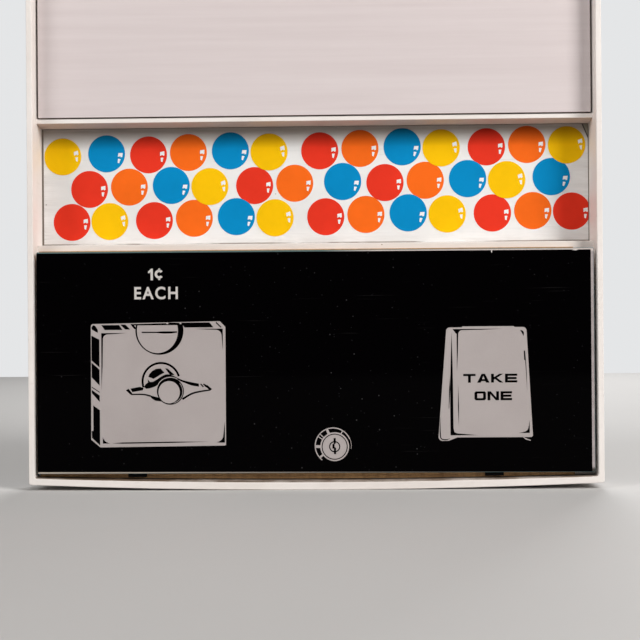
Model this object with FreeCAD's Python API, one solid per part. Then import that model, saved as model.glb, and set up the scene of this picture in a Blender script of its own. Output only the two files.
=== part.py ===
"""Gumball-machine wall panel: a shallow moulded frame with two glass panels and a printed card.

Millimetres. The working axes are X to the right, Y as depth from the front rim towards the wall,
and Z up from the outer bottom corners. Every piece is moved once, in save(), so that the row's
origin is midway between the two hanging rings' pivots, on the wall plane.
"""
import FreeCAD, Part
import math
import os

Vector = FreeCAD.Vector

# Overall size
WIDTH = 406.4
HEIGHT = 508.0
FRAME_DEPTH = 32.0
WALL_PLANE = 36.0

# Frame moulding
RIM = 4.1
BOTTOM_RIM = 4.7
TOP_RIM = 5.0
OUTER_BOW = 4.3
FRONT_LIP_BOW = 3.4
WEB_LIP_BOW = 2.2
CAVITY_BOW = 4.0
WEB_FRONT = 11.4
UPPER_WEB_FRONT = 15.4
WEB_THICK = 2.6
LEDGE_TOP = 261.3
JOIN_OVERLAP = 1.0
ADDITION_INSET = 0.5
OUTER_CORNER = 1.6
INNER_CORNER = 2.0
FRONT_EDGE_ROUND = 0.6
BOARD_SEAT = 28.0
REBATE_WALL = 2.6
RIB_THICK = 1.8
RIB_PLACES = (-100.0, 0.0, 100.0)
RIB_BACK = 27.0

# Card well, the open recess between the two glass panels
WELL_BOTTOM = 170.6
WELL_TOP = 258.2
WELL_TOP_DRAFT = 1.6
WELL_BOTTOM_DRAFT = 0.4
WELL_FLOOR = 25.3
WELL_WALL = 2.8
WELL_EDGE_ROUND = 0.5

# Flat pieces on the front
GLASS_THICK = 3.0
GLASS_ARRIS = 0.35
UPPER_GLASS_FRONT = 10.6
UPPER_GLASS_HALF_WIDTH = 197.9
UPPER_GLASS_BOTTOM = 262.0
UPPER_GLASS_TOP = 502.4
LOWER_GLASS_FRONT = 2.0
LOWER_GLASS_HALF_WIDTH = 197.3
LOWER_GLASS_BOTTOM = 7.4
LOWER_GLASS_TOP = 165.2
MOUNTING_BOARD_FRONT = 8.2
MOUNTING_BOARD_LEFT = -197.0
MOUNTING_BOARD_WIDTH = 381.0
MOUNTING_BOARD_TOP = 166.2
MOUNTING_BOARD_LIFT = 0.3
CARD_THICK = 0.6
CARD_LEFT = -197.6
CARD_RIGHT = 198.4
CARD_BOTTOM = 171.6
CARD_TOP = 256.2

# Foam tape
TAPE_WIDTH = 13.0
TAPE_SPREAD = 126.8
LOWER_TAPE_BOTTOM = 4.6
LOWER_TAPE_TOP = 158.0
UPPER_TAPE_MARGIN = 14.0

# Back board and its turn buttons
BACK_BOARD_THICK = 3.0
BACK_BOARD_GAP = 0.5
LAND_LENGTH = 44.0
LAND_WIDTH = 11.0
LAND_FRONT = 24.0
BOSS_RADIUS = 4.6
PIVOT_INSET = 8.6
BUTTON_WIDTH = 10.0
BUTTON_REACH = 15.0
BUTTON_THICK = 1.4
BUTTON_GAP = 0.1
BUTTON_CLEARANCE = 0.07
DIMPLE_RADIUS = 1.6
DIMPLE_DEPTH = 0.5
SIDE_BUTTON_HEIGHTS = (80.0, 300.0, 430.0)
WASHER_THICK = 0.5
WASHER_RADIUS = 4.2
SCREW_RADIUS = 1.65
SCREW_HOLE_RADIUS = 1.7
SCREW_HEAD_RADIUS = 3.7
SCREW_HEAD_HEIGHT = 1.5
SCREW_LENGTH = 14.0
SCREW_TIP_ROOM = 1.0
SCREW_CROWN = 0.9
SCREW_RECESS = 0.9
SCREW_RECESS_ARM = 2.0

# Hangers
HANGER_SPREAD = 152.4
HANGER_HEIGHT = 430.0
PLATE_WIDTH = 11.0
PLATE_THICK = 0.8
PLATE_LENGTH = 27.0
PLATE_SCREW_DROP = 21.5
LOOP_AXIS = 33.3
LOOP_INNER_RADIUS = 1.28
LOOP_OUTER_RADIUS = 2.1
RING_WIRE_RADIUS = 1.2
RING_HALF_WIDTH = 9.0
RING_CORNER = 2.0
RING_SIDE = 4.5
HANGER_BOSS_RADIUS = 5.5

# Wall bumpers
BUMPER_RADIUS = 8.0
BUMPER_TIP_RADIUS = 6.8
BUMPER_INSET_X = 26.0
BUMPER_INSET_Z = 24.0
BUMPER_EDGE_ROUND = 0.8

# Worked-out places
HALF_WIDTH = WIDTH / 2
INNER_HALF_WIDTH = HALF_WIDTH - RIM
INNER_TOP = HEIGHT - TOP_RIM
WEB_BACK = WEB_FRONT + WEB_THICK
UPPER_WEB_BACK = UPPER_WEB_FRONT + WEB_THICK
REBATE_HALF_WIDTH = HALF_WIDTH - REBATE_WALL
BOARD_BACK = BOARD_SEAT + BACK_BOARD_THICK
BUTTON_FRONT = BOARD_BACK + BUTTON_GAP
WASHER_FRONT = BUTTON_FRONT + BUTTON_THICK + BUTTON_GAP
BUTTON_HEAD_SEAT = WASHER_FRONT + WASHER_THICK

NODES = {}


def box(x0, x1, y0, y1, z0, z1):
    """A block between two corners."""
    return Part.makeBox(x1 - x0, y1 - y0, z1 - z0, Vector(x0, y0, z0))


def rod(radius, x, z, y0, y1):
    """A round bar along the depth axis."""
    return Part.makeCylinder(radius, y1 - y0, Vector(x, y0, z), Vector(0, 1, 0))


def bowed_outline(half_width, z_end, bow, z_top, y):
    """A closed outline at one depth, with straight sides and a bottom edge that bows down."""
    low_left = Vector(-half_width, y, z_end)
    low_right = Vector(half_width, y, z_end)
    high_right = Vector(half_width, y, z_top)
    high_left = Vector(-half_width, y, z_top)
    bottom = Part.Arc(low_left, Vector(0, y, z_end - bow), low_right).toShape()
    right = Part.makeLine(low_right, high_right)
    top = Part.makeLine(high_right, high_left)
    left = Part.makeLine(high_left, low_left)
    return Part.Wire([bottom, right, top, left])


def bowed_block(half_width, z_end, bow_front, bow_back, z_top, y0, y1):
    """The solid between a front outline and a back outline that differ only in their bow."""
    front = bowed_outline(half_width, z_end, bow_front, z_top, y0)
    back = bowed_outline(half_width, z_end, bow_back, z_top, y1)
    return Part.makeLoft([front, back], True, True)


def runs_in_depth(edge):
    """True for an edge that lies along the depth axis."""
    ends = [vertex.Point for vertex in edge.Vertexes]
    if len(ends) != 2:
        return False
    run = ends[1] - ends[0]
    return abs(run.y) > 0.9 * run.Length


def lies_at_depth(edge, y):
    """True for an edge that stays in the plane at one depth."""
    box_of_edge = edge.BoundBox
    return abs(box_of_edge.YMin - y) < 0.01 and abs(box_of_edge.YMax - y) < 0.01


def is_well_mouth(edge):
    """True for the long front edges above and below the card well."""
    if not lies_at_depth(edge, WEB_FRONT):
        return False
    box_of_edge = edge.BoundBox
    level = box_of_edge.ZLength < 0.01 and box_of_edge.XLength > WIDTH / 2
    return level and min(abs(box_of_edge.ZMin - z) for z in (WELL_BOTTOM, WELL_TOP)) < 0.01


def round_depth_edges(solid, radius):
    """Round a block's four corners as seen from the front."""
    edges = [edge for edge in solid.Edges if runs_in_depth(edge)]
    return solid.makeFillet(radius, edges)


def save(name, shape):
    """Put a piece into the row's frame and write it."""
    placed = shape.copy()
    placed.translate(Vector(0, -WALL_PLANE, -HANGER_HEIGHT))
    if len(placed.Solids) == 1:
        placed = placed.Solids[0]
    NODES[name] = placed
    placed.exportStep("parts/" + name + ".step")


def button_places():
    """Each turn button's name, pivot x and z, and the way its arm points at rest, in degrees."""
    places = []
    side_x = HALF_WIDTH - PIVOT_INSET
    for number, z in enumerate(SIDE_BUTTON_HEIGHTS, start=1):
        places.append(("turn_button_left_" + str(number), -side_x, z, 0.0))
        places.append(("turn_button_right_" + str(number), side_x, z, 180.0))
    places.append(("turn_button_top", 0.0, HEIGHT - PIVOT_INSET, 270.0))
    places.append(("turn_button_bottom", 0.0, PIVOT_INSET, 90.0))
    return places


def land_at(x, z, length, width, y0, y1):
    """The moulded pad under one turn button, from the rim inwards, along the nearest rim wall."""
    half = length / 2
    if abs(x) > 1.0:
        edge = math.copysign(REBATE_HALF_WIDTH, x)
        inner = edge - math.copysign(width, x)
        return box(min(edge, inner), max(edge, inner), y0, y1, z - half, z + half)
    if z > HEIGHT / 2:
        edge = HEIGHT - REBATE_WALL
        return box(x - half, x + half, y0, y1, edge - width, edge)
    return box(x - half, x + half, y0, y1, REBATE_WALL, REBATE_WALL + width)


def web_back_at(z):
    """The depth of the web's back face: it is deeper behind the upper glass."""
    return UPPER_WEB_BACK if z > LEDGE_TOP else WEB_BACK


def frame_moulding():
    """The white one-piece moulding: rim, web, card well, ribs, lands and bosses."""
    body = bowed_block(HALF_WIDTH, 0.0, OUTER_BOW, OUTER_BOW, HEIGHT, 0.0, FRAME_DEPTH)
    body = round_depth_edges(body, OUTER_CORNER)
    recess = bowed_block(
        INNER_HALF_WIDTH, BOTTOM_RIM, FRONT_LIP_BOW, WEB_LIP_BOW, INNER_TOP, 0.0, WEB_FRONT
    )
    recess = round_depth_edges(recess, INNER_CORNER)
    body = body.cut(recess)
    front_edges = [edge for edge in body.Edges if lies_at_depth(edge, 0.0)]
    body = body.makeFillet(FRONT_EDGE_ROUND, front_edges)
    upper_recess = box(
        -INNER_HALF_WIDTH, INNER_HALF_WIDTH, WEB_FRONT, UPPER_WEB_FRONT, LEDGE_TOP, INNER_TOP
    )
    body = body.cut(round_depth_edges(upper_recess, INNER_CORNER))

    well_front = [
        Vector(-INNER_HALF_WIDTH, WEB_FRONT, WELL_BOTTOM),
        Vector(INNER_HALF_WIDTH, WEB_FRONT, WELL_BOTTOM),
        Vector(INNER_HALF_WIDTH, WEB_FRONT, WELL_TOP),
        Vector(-INNER_HALF_WIDTH, WEB_FRONT, WELL_TOP),
    ]
    well_back = [
        Vector(-INNER_HALF_WIDTH, WELL_FLOOR, WELL_BOTTOM + WELL_BOTTOM_DRAFT),
        Vector(INNER_HALF_WIDTH, WELL_FLOOR, WELL_BOTTOM + WELL_BOTTOM_DRAFT),
        Vector(INNER_HALF_WIDTH, WELL_FLOOR, WELL_TOP - WELL_TOP_DRAFT),
        Vector(-INNER_HALF_WIDTH, WELL_FLOOR, WELL_TOP - WELL_TOP_DRAFT),
    ]
    outlines = [Part.makePolygon(points + points[:1]) for points in (well_front, well_back)]
    body = body.cut(Part.makeLoft(outlines, True, True))
    body = body.makeFillet(WELL_EDGE_ROUND, [edge for edge in body.Edges if is_well_mouth(edge)])

    upper_cavity = box(
        -INNER_HALF_WIDTH, INNER_HALF_WIDTH, UPPER_WEB_BACK, BOARD_SEAT, WELL_TOP + WELL_WALL, INNER_TOP
    )
    lower_cavity = bowed_block(
        INNER_HALF_WIDTH, BOTTOM_RIM, CAVITY_BOW, CAVITY_BOW,
        WELL_BOTTOM - WELL_WALL, WEB_BACK, BOARD_SEAT,
    )
    rebate = box(
        -REBATE_HALF_WIDTH, REBATE_HALF_WIDTH, BOARD_SEAT, FRAME_DEPTH, REBATE_WALL, HEIGHT - REBATE_WALL
    )
    cavities = upper_cavity.fuse([lower_cavity, rebate])
    body = body.cut(cavities)

    additions = []
    for x in RIB_PLACES:
        left = x - RIB_THICK / 2
        right = x + RIB_THICK / 2
        upper_start = UPPER_WEB_BACK - JOIN_OVERLAP
        lower_start = WEB_BACK - JOIN_OVERLAP
        additions.append(box(left, right, upper_start, RIB_BACK, WELL_TOP, INNER_TOP + JOIN_OVERLAP))
        additions.append(box(left, right, lower_start, RIB_BACK, BOTTOM_RIM - JOIN_OVERLAP, WELL_BOTTOM))
    for _, x, z, _ in button_places():
        additions.append(land_at(x, z, LAND_LENGTH, LAND_WIDTH, LAND_FRONT, BOARD_BACK))
        additions.append(rod(BOSS_RADIUS, x, z, web_back_at(z) - JOIN_OVERLAP, BOARD_BACK))
    for side in (-1, 1):
        z = HANGER_HEIGHT - PLATE_SCREW_DROP
        start = web_back_at(z) - JOIN_OVERLAP
        additions.append(rod(HANGER_BOSS_RADIUS, side * HANGER_SPREAD, z, start, BOARD_SEAT))
    inside = bowed_block(
        HALF_WIDTH - ADDITION_INSET,
        ADDITION_INSET,
        OUTER_BOW,
        OUTER_BOW,
        HEIGHT - ADDITION_INSET,
        WEB_FRONT,
        BOARD_BACK,
    )
    body = body.fuse([piece.common(inside) for piece in additions])

    holes = []
    for _, x, z, _ in button_places():
        start = BUTTON_HEAD_SEAT - SCREW_LENGTH - SCREW_TIP_ROOM
        holes.append(rod(SCREW_HOLE_RADIUS, x, z, start, FRAME_DEPTH))
    for side in (-1, 1):
        z = HANGER_HEIGHT - PLATE_SCREW_DROP
        start = BOARD_BACK + PLATE_THICK - SCREW_LENGTH - SCREW_TIP_ROOM
        holes.append(rod(SCREW_HOLE_RADIUS, side * HANGER_SPREAD, z, start, FRAME_DEPTH))
    body = body.cut(holes[0].fuse(holes[1:]))
    return body.removeSplitter()


def glass_sheet(half_width, z0, z1, front):
    """A rectangular glass sheet with ground edges."""
    sheet = box(-half_width, half_width, front, front + GLASS_THICK, z0, z1)
    return sheet.makeChamfer(GLASS_ARRIS, sheet.Edges)


def gumball_card():
    """The printed card on the floor of the well."""
    return box(CARD_LEFT, CARD_RIGHT, WELL_FLOOR - CARD_THICK, WELL_FLOOR, CARD_BOTTOM, CARD_TOP)


def mounting_board():
    """The brown hardboard between the lower glass and the web; its foot follows the bowed lip."""
    right = MOUNTING_BOARD_LEFT + MOUNTING_BOARD_WIDTH
    blank = box(MOUNTING_BOARD_LEFT, right, MOUNTING_BOARD_FRONT, WEB_FRONT, 0.0, MOUNTING_BOARD_TOP)
    foot = bowed_block(
        INNER_HALF_WIDTH,
        BOTTOM_RIM + MOUNTING_BOARD_LIFT,
        WEB_LIP_BOW,
        WEB_LIP_BOW,
        MOUNTING_BOARD_TOP,
        MOUNTING_BOARD_FRONT,
        WEB_FRONT,
    )
    return blank.common(foot)


def tape_strip(x, y0, y1, z0, z1):
    """One upright strip of foam tape, centred on x."""
    return box(x - TAPE_WIDTH / 2, x + TAPE_WIDTH / 2, y0, y1, z0, z1)


def back_board():
    """The hardboard back, notched round the lands and drilled for the hanger screws."""
    half = REBATE_HALF_WIDTH - BACK_BOARD_GAP
    low = REBATE_WALL + BACK_BOARD_GAP
    high = HEIGHT - REBATE_WALL - BACK_BOARD_GAP
    board = box(-half, half, BOARD_SEAT, BOARD_BACK, low, high)
    cutters = []
    for _, x, z, _ in button_places():
        length = LAND_LENGTH + 2 * BACK_BOARD_GAP
        cutters.append(land_at(x, z, length, LAND_WIDTH + BACK_BOARD_GAP, BOARD_SEAT, BOARD_BACK))
    for side in (-1, 1):
        x = side * HANGER_SPREAD
        z = HANGER_HEIGHT - PLATE_SCREW_DROP
        cutters.append(rod(SCREW_HOLE_RADIUS + BUTTON_CLEARANCE, x, z, BOARD_SEAT, BOARD_BACK))
    for cutter in cutters:
        board = board.cut(cutter)
    return board


def turn_button(x, z, heading):
    """A flat steel latch with round ends, drilled at its pivot and dimpled near its tip."""
    half = BUTTON_WIDTH / 2
    y0 = BUTTON_FRONT
    y1 = BUTTON_FRONT + BUTTON_THICK
    bar = box(0.0, BUTTON_REACH, y0, y1, -half, half)
    bar = bar.fuse([rod(half, 0.0, 0.0, y0, y1), rod(half, BUTTON_REACH, 0.0, y0, y1)])
    bar = bar.cut(rod(SCREW_RADIUS + BUTTON_CLEARANCE, 0.0, 0.0, y0, y1))
    bar = bar.cut(rod(DIMPLE_RADIUS, BUTTON_REACH, 0.0, y1 - DIMPLE_DEPTH, y1)).removeSplitter()
    bar.rotate(Vector(0, 0, 0), Vector(0, -1, 0), heading)
    bar.translate(Vector(x, 0, z))
    return bar


def screw(x, z, head_seat):
    """A round-headed screw whose head sits at one depth, with a crossed driver recess."""
    shank = rod(SCREW_RADIUS, x, z, head_seat - SCREW_LENGTH, head_seat)
    head = rod(SCREW_HEAD_RADIUS, x, z, head_seat, head_seat + SCREW_HEAD_HEIGHT)
    crown = [edge for edge in head.Edges if lies_at_depth(edge, head_seat + SCREW_HEAD_HEIGHT)]
    head = head.makeFillet(SCREW_CROWN, crown)
    top = head_seat + SCREW_HEAD_HEIGHT
    arm = SCREW_RECESS_ARM
    slot = SCREW_RECESS / 2
    cross = box(x - arm, x + arm, top - SCREW_RECESS, top, z - slot, z + slot)
    cross = cross.fuse(box(x - slot, x + slot, top - SCREW_RECESS, top, z - arm, z + arm))
    return shank.fuse(head.cut(cross)).removeSplitter()


def washer(x, z):
    """The spring washer between one turn button and its screw head."""
    disc = rod(WASHER_RADIUS, x, z, WASHER_FRONT, BUTTON_HEAD_SEAT)
    return disc.cut(rod(SCREW_HOLE_RADIUS, x, z, WASHER_FRONT, BUTTON_HEAD_SEAT))


def hanger_plate(x):
    """A steel strap on the back board, rolled into a loop at its top."""
    half = PLATE_WIDTH / 2
    y1 = BOARD_BACK + PLATE_THICK
    foot = HANGER_HEIGHT - PLATE_LENGTH
    plate = box(x - half, x + half, BOARD_BACK, y1, foot + half, HANGER_HEIGHT)
    plate = plate.fuse(rod(half, x, foot + half, BOARD_BACK, y1))
    axis_start = Vector(x - half, LOOP_AXIS, HANGER_HEIGHT)
    plate = plate.fuse(Part.makeCylinder(LOOP_OUTER_RADIUS, PLATE_WIDTH, axis_start, Vector(1, 0, 0)))
    plate = plate.cut(Part.makeCylinder(LOOP_INNER_RADIUS, PLATE_WIDTH, axis_start, Vector(1, 0, 0)))
    plate = plate.cut(rod(SCREW_HOLE_RADIUS, x, HANGER_HEIGHT - PLATE_SCREW_DROP, BOARD_BACK, y1))
    return plate.removeSplitter()


def ring_path():
    """The D-shaped centreline of a hanging ring, hanging down from its straight bar."""
    w = RING_HALF_WIDTH
    c = RING_CORNER
    s = c * (1 - math.sqrt(0.5))

    def at(x, drop):
        return Vector(x, LOOP_AXIS, HANGER_HEIGHT - drop)

    return Part.Wire([
        Part.makeLine(at(c - w, 0), at(w - c, 0)),
        Part.Arc(at(w - c, 0), at(w - s, s), at(w, c)).toShape(),
        Part.makeLine(at(w, c), at(w, RING_SIDE)),
        Part.Arc(at(w, RING_SIDE), at(0, RING_SIDE + w), at(-w, RING_SIDE)).toShape(),
        Part.makeLine(at(-w, RING_SIDE), at(-w, c)),
        Part.Arc(at(-w, c), at(s - w, s), at(c - w, 0)).toShape(),
    ])


def hanger_ring(x):
    """A steel D ring whose bar turns in the strap's loop."""
    start = Vector(RING_CORNER - RING_HALF_WIDTH, LOOP_AXIS, HANGER_HEIGHT)
    section = Part.Wire([Part.makeCircle(RING_WIRE_RADIUS, start, Vector(1, 0, 0))])
    ring = ring_path().makePipeShell([section], True, True)
    ring.translate(Vector(x, 0, 0))
    return ring


def wall_bumper(x, z):
    """A tapered rubber foot that holds the frame off the wall."""
    height = WALL_PLANE - BOARD_BACK
    start = Vector(x, BOARD_BACK, z)
    cone = Part.makeCone(BUMPER_RADIUS, BUMPER_TIP_RADIUS, height, start, Vector(0, 1, 0))
    tip = [edge for edge in cone.Edges if lies_at_depth(edge, WALL_PLANE)]
    return cone.makeFillet(BUMPER_EDGE_ROUND, tip)


def make_front_pieces():
    save("frame_moulding", frame_moulding())
    save("upper_glass", glass_sheet(
        UPPER_GLASS_HALF_WIDTH, UPPER_GLASS_BOTTOM, UPPER_GLASS_TOP, UPPER_GLASS_FRONT))
    save("lower_glass", glass_sheet(
        LOWER_GLASS_HALF_WIDTH, LOWER_GLASS_BOTTOM, LOWER_GLASS_TOP, LOWER_GLASS_FRONT))
    save("gumball_card", gumball_card())
    save("mounting_board", mounting_board())
    lower_back = LOWER_GLASS_FRONT + GLASS_THICK
    for name, x in (("lower_tape_left", -TAPE_SPREAD), ("lower_tape_right", TAPE_SPREAD)):
        save(name, tape_strip(x, lower_back, MOUNTING_BOARD_FRONT, LOWER_TAPE_BOTTOM, LOWER_TAPE_TOP))
    upper_back = UPPER_GLASS_FRONT + GLASS_THICK
    low = UPPER_GLASS_BOTTOM + UPPER_TAPE_MARGIN
    high = UPPER_GLASS_TOP - UPPER_TAPE_MARGIN
    for name, x in (("left", -TAPE_SPREAD), ("middle", 0.0), ("right", TAPE_SPREAD)):
        save("upper_tape_" + name, tape_strip(x, upper_back, UPPER_WEB_FRONT, low, high))


def make_back_pieces():
    save("back_board", back_board())
    screws = []
    washers = []
    for name, x, z, heading in button_places():
        save(name, turn_button(x, z, heading))
        screws.append(screw(x, z, BUTTON_HEAD_SEAT))
        washers.append(washer(x, z))
    save("turn_button_screws", Part.makeCompound(screws))
    save("turn_button_washers", Part.makeCompound(washers))
    hanger_screws = []
    for name, x in (("left", -HANGER_SPREAD), ("right", HANGER_SPREAD)):
        save("hanger_plate_" + name, hanger_plate(x))
        save("hanger_ring_" + name, hanger_ring(x))
        hanger_screws.append(screw(x, HANGER_HEIGHT - PLATE_SCREW_DROP, BOARD_BACK + PLATE_THICK))
    save("hanger_screws", Part.makeCompound(hanger_screws))
    for level, z in (("bottom", BUMPER_INSET_Z), ("top", HEIGHT - BUMPER_INSET_Z)):
        for name, x in (("left", BUMPER_INSET_X - HALF_WIDTH), ("right", HALF_WIDTH - BUMPER_INSET_X)):
            save("wall_bumper_" + level + "_" + name, wall_bumper(x, z))


def report():
    """Print each node's solids, validity and volume."""
    for name, shape in NODES.items():
        closed = all(solid.isValid() and solid.isClosed() for solid in shape.Solids)
        print(name, len(shape.Solids), "closed" if closed else "NOT CLOSED", round(shape.Volume, 1))


os.makedirs("parts", exist_ok=True)
make_front_pieces()
make_back_pieces()
report()
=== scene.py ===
"""Looks for the gumball-machine wall panel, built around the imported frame.

Distances in the named values are millimetres unless they say otherwise. Printed art is placed by
its distance from the panel's centre line (x) and its height above the lower edge of its own panel.
"""
import math

import bmesh
import bpy
from mathutils import Matrix, Vector


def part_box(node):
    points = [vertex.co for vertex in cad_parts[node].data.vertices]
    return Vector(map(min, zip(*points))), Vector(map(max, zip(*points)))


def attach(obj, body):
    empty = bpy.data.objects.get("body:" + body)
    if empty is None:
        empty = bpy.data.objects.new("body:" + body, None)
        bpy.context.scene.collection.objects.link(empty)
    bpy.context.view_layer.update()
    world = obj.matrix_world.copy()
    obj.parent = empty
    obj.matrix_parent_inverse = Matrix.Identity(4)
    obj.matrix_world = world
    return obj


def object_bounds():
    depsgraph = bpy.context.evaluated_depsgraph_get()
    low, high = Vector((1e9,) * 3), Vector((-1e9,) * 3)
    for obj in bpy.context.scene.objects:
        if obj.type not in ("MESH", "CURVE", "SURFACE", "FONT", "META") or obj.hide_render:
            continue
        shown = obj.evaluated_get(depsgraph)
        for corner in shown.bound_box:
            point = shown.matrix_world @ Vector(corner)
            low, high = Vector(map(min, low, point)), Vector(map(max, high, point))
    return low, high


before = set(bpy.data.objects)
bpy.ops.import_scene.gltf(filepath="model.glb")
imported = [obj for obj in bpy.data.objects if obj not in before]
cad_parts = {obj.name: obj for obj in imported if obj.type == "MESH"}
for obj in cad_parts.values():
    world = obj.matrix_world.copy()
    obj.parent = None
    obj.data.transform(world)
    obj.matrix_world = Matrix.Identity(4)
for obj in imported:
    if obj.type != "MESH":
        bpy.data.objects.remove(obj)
CAD_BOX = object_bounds()

MM = 0.001

# Camera, in metres and degrees
CAMERA_PLACE = (0.0224, -0.8364, -0.3158)
CAMERA_YAW = 1.3
CAMERA_PITCH = 0.1
CAMERA_ROLL = 0.43
CAMERA_LENS = 63.84
SENSOR_WIDTH = 36.0

# The point the lights face, and half the floor's width, in metres
LIGHT_TARGET = (0.0, -0.03, -0.19)
FLOOR_HALF_WIDTH = 1.7

# Print thicknesses, each layer standing in front of the one before
FIELD_LAYER = 0.05
SILVER_LAYER = 0.10
DETAIL_LAYER = 0.15
TRIM_LAYER = 0.20

# Black field on the lower glass
FIELD_RIGHT_MARGIN = 2.3
FIELD_FOOT_LEFT = 1.5
FIELD_FOOT_MIDDLE = 0.9
FIELD_FOOT_RIGHT = 0.3
FIELD_TOP_LEFT = 0.95
FIELD_TOP_RIGHT = 1.3

# Places of the printed parts on the lower glass: x, height
COIN_PLATE_PLACE = (-152.4, 18.9)
FLAP_PLACE = (98.5, 24.6)
LOCK_PLACE = (13.9, 18.6)
PRICE_PLACE = (-112.4, 141.5)
EACH_PLACE = (-112.0, 128.2)

# Printed words: width and height, and the two flap words' places on the flap
EACH_SIZE = (31.0, 9.0)
EACH_BOLDNESS = 0.024
TAKE_SIZE = (38.0, 6.2)
ONE_SIZE = (26.4, 6.3)
TAKE_OFFSET = (25.4, 41.7)
ONE_OFFSET = (27.4, 29.3)
FLAP_WORD_GAP = 1.1

# Gumballs: three staggered rows from the top down, each with its inks and where it starts
BALL_RADIUS = 13.5
BALL_PITCH = 30.2
BALL_RISE = 0.4
ROW_GAP = 24.0
BOTTOM_ROW_HEIGHT = 16.7
BALL_ROWS = [
    ("YBROBYROBYROY", -181.0),
    ("ROBYROBROBYB", -164.0),
    ("RYROBYROBYROR", -177.0),
]

# The two halves of the print stand a little apart
HALF_COUNT = 6
HALF_GAP = 4.2

# Least distance from the middle of a gumball to the card's right edge
EDGE_ROOM = 12.0

# How far each ink is printed out of line, and how its glints are turned in degrees
INK_SHIFTS = {"R": (0.0, 0.0), "Y": (-2.5, 0.0), "B": (-0.5, 1.5), "O": (-1.0, 1.0)}
GLINT_TURNS = {"R": 0, "Y": 10, "B": -10, "O": -3}

# The two patches of a glint, about the middle of a gumball
GLINT_UPPER = [
    (8.5, 1.9), (11.6, 2.5), (11.7, -0.4), (10.6, -0.9), (10.5, -0.2), (9.5, -0.4), (8.5, -0.8),
]
GLINT_LOWER = [(8.9, -2.2), (10.9, -2.2), (10.2, -5.4), (9.1, -5.0)]
INK_NAMES = {"R": "red", "O": "orange", "Y": "yellow", "B": "blue"}
INK_COLOURS = {
    "O": (0.93, 0.150, 0.012),
    "R": (0.80, 0.040, 0.018),
    "B": (0.002, 0.255, 0.56),
    "Y": (0.95, 0.545, 0.003),
}
INK_STEP = 0.04

# Bent corner of the card, at its upper right
CREASE_WIDTH = 4.2
CREASE_SLOPE = 0.42

# Painted shadow of the divider on the card and its gumballs: how far down it reaches, and how strong
TOP_SHADOW_REACH = 15.0
TOP_SHADOW_AMOUNT = 0.85

# Worked-out places, in metres
LOWER_LOW, LOWER_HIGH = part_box("lower_glass")
CARD_LOW, CARD_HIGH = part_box("gumball_card")


# ---------------------------------------------------------------- geometry helpers

def turned(points, degrees):
    """Points turned about (0, 0)."""
    c = math.cos(math.radians(degrees))
    s = math.sin(math.radians(degrees))
    return [(x * c - z * s, x * s + z * c) for x, z in points]


def moved(points, place):
    """Points shifted by a place."""
    return [(x + place[0], z + place[1]) for x, z in points]


def arc_points(centre, radius_x, radius_z, start, end, count):
    """Points along an ellipse's arc, angles in degrees."""
    points = []
    for i in range(count + 1):
        angle = math.radians(start + (end - start) * i / count)
        points.append((centre[0] + radius_x * math.cos(angle), centre[1] + radius_z * math.sin(angle)))
    return points


def circle_points(centre, radius, count=64):
    """A full circle, as one closed outline."""
    return arc_points(centre, radius, radius, 0, 360, count)[:-1]


def smooth_line(points, steps=6):
    """A Catmull-Rom curve through the points."""
    padded = [points[0]] + list(points) + [points[-1]]
    result = []
    for i in range(1, len(padded) - 2):
        p0, p1, p2, p3 = (Vector(p) for p in padded[i - 1:i + 3])
        for k in range(steps):
            t = k / steps
            point = 2 * p1 + (p2 - p0) * t
            point += (2 * p0 - 5 * p1 + 4 * p2 - p3) * t * t
            point += (3 * p1 - p0 - 3 * p2 + p3) * t * t * t
            result.append(tuple(point / 2))
    result.append(tuple(points[-1]))
    return result


def stroke_outline(points, widths):
    """The outline of a line that swells and thins: one width per point, 0 for a sharp end."""
    left = []
    right = []
    last = len(points) - 1
    for i, point in enumerate(points):
        ahead = Vector(points[min(i + 1, last)]) - Vector(points[max(i - 1, 0)])
        side = Vector((-ahead.y, ahead.x)).normalized()
        t = i / last * (len(widths) - 1)
        low = min(int(t), len(widths) - 2)
        width = widths[low] + (widths[low + 1] - widths[low]) * (t - low)
        left.append(tuple(Vector(point) + side * width / 2))
        right.append(tuple(Vector(point) - side * width / 2))
    if widths[0] == 0:
        right = right[1:]
    if widths[-1] == 0:
        right = right[:-1]
    return left + right[::-1]


def rounded_outline(corners, steps=6):
    """A closed outline whose corners (x, z, radius) are rounded with arcs."""
    result = []
    count = len(corners)
    for i, (x, z, radius) in enumerate(corners):
        here = Vector((x, z))
        before = Vector(corners[i - 1][:2]) - here
        after = Vector(corners[(i + 1) % count][:2]) - here
        half = before.angle(after) / 2
        reach = radius / math.tan(half)
        middle = here + (before.normalized() + after.normalized()).normalized() * radius / math.sin(half)
        start = here + before.normalized() * reach - middle
        end = here + after.normalized() * reach - middle
        for k in range(steps + 1):
            spoke = start.lerp(end, k / steps).normalized() * radius
            result.append(tuple(middle + spoke))
    return result


def corner_accent(x, z, reach_x, reach_z, radius, level_width=0.8, upright_width=0.8):
    """A drawn inside corner: two thinning arms that meet in a filled, rounded-off corner."""
    sx = math.copysign(1, reach_x)
    sz = math.copysign(1, reach_z)
    outline = [(x, z), (x + reach_x, z), (x + reach_x * 0.55, z + sz * level_width * 0.7)]
    for k in range(7):
        angle = math.radians(90 * k / 6)
        outline.append((
            x + sx * (upright_width + radius * (1 - math.sin(angle))),
            z + sz * (level_width + radius * (1 - math.cos(angle))),
        ))
    outline.append((x + sx * upright_width * 0.7, z + reach_z * 0.55))
    outline.append((x, z + reach_z))
    return outline


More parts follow.
